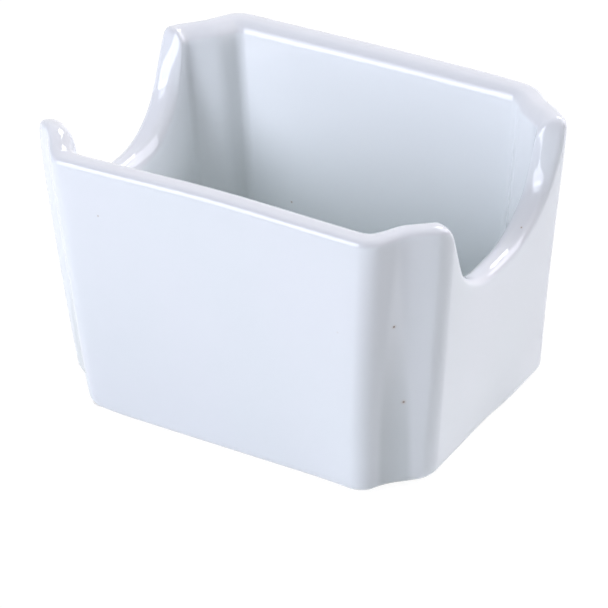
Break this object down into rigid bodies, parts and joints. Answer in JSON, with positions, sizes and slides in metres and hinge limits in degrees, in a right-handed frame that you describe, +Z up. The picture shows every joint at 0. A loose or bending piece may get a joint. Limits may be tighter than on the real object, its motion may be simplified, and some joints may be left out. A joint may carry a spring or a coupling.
{
  "type": "sugar packet holder",
  "caption": "Open porcelain holder for flat sugar packets: tapered box with coved corners, rolled lip and a finger dip in each side wall, on a bare foot ring.",
  "frame": {"origin": "on the table, under the middle of the foot", "axes": "+X across the front, towards one dipped side wall; +Y from the front wall to the back wall; +Z up"},
  "size_m": [0.0932, 0.0736, 0.0592],
  "materials": {
    "glazed_porcelain": "clear gloss glaze over white porcelain",
    "bare_porcelain": "matt unglazed porcelain"
  },
  "bodies": {
    "root": {"body": "glazed_porcelain", "foot_ring": "bare_porcelain"}
  },
  "joints": []
}
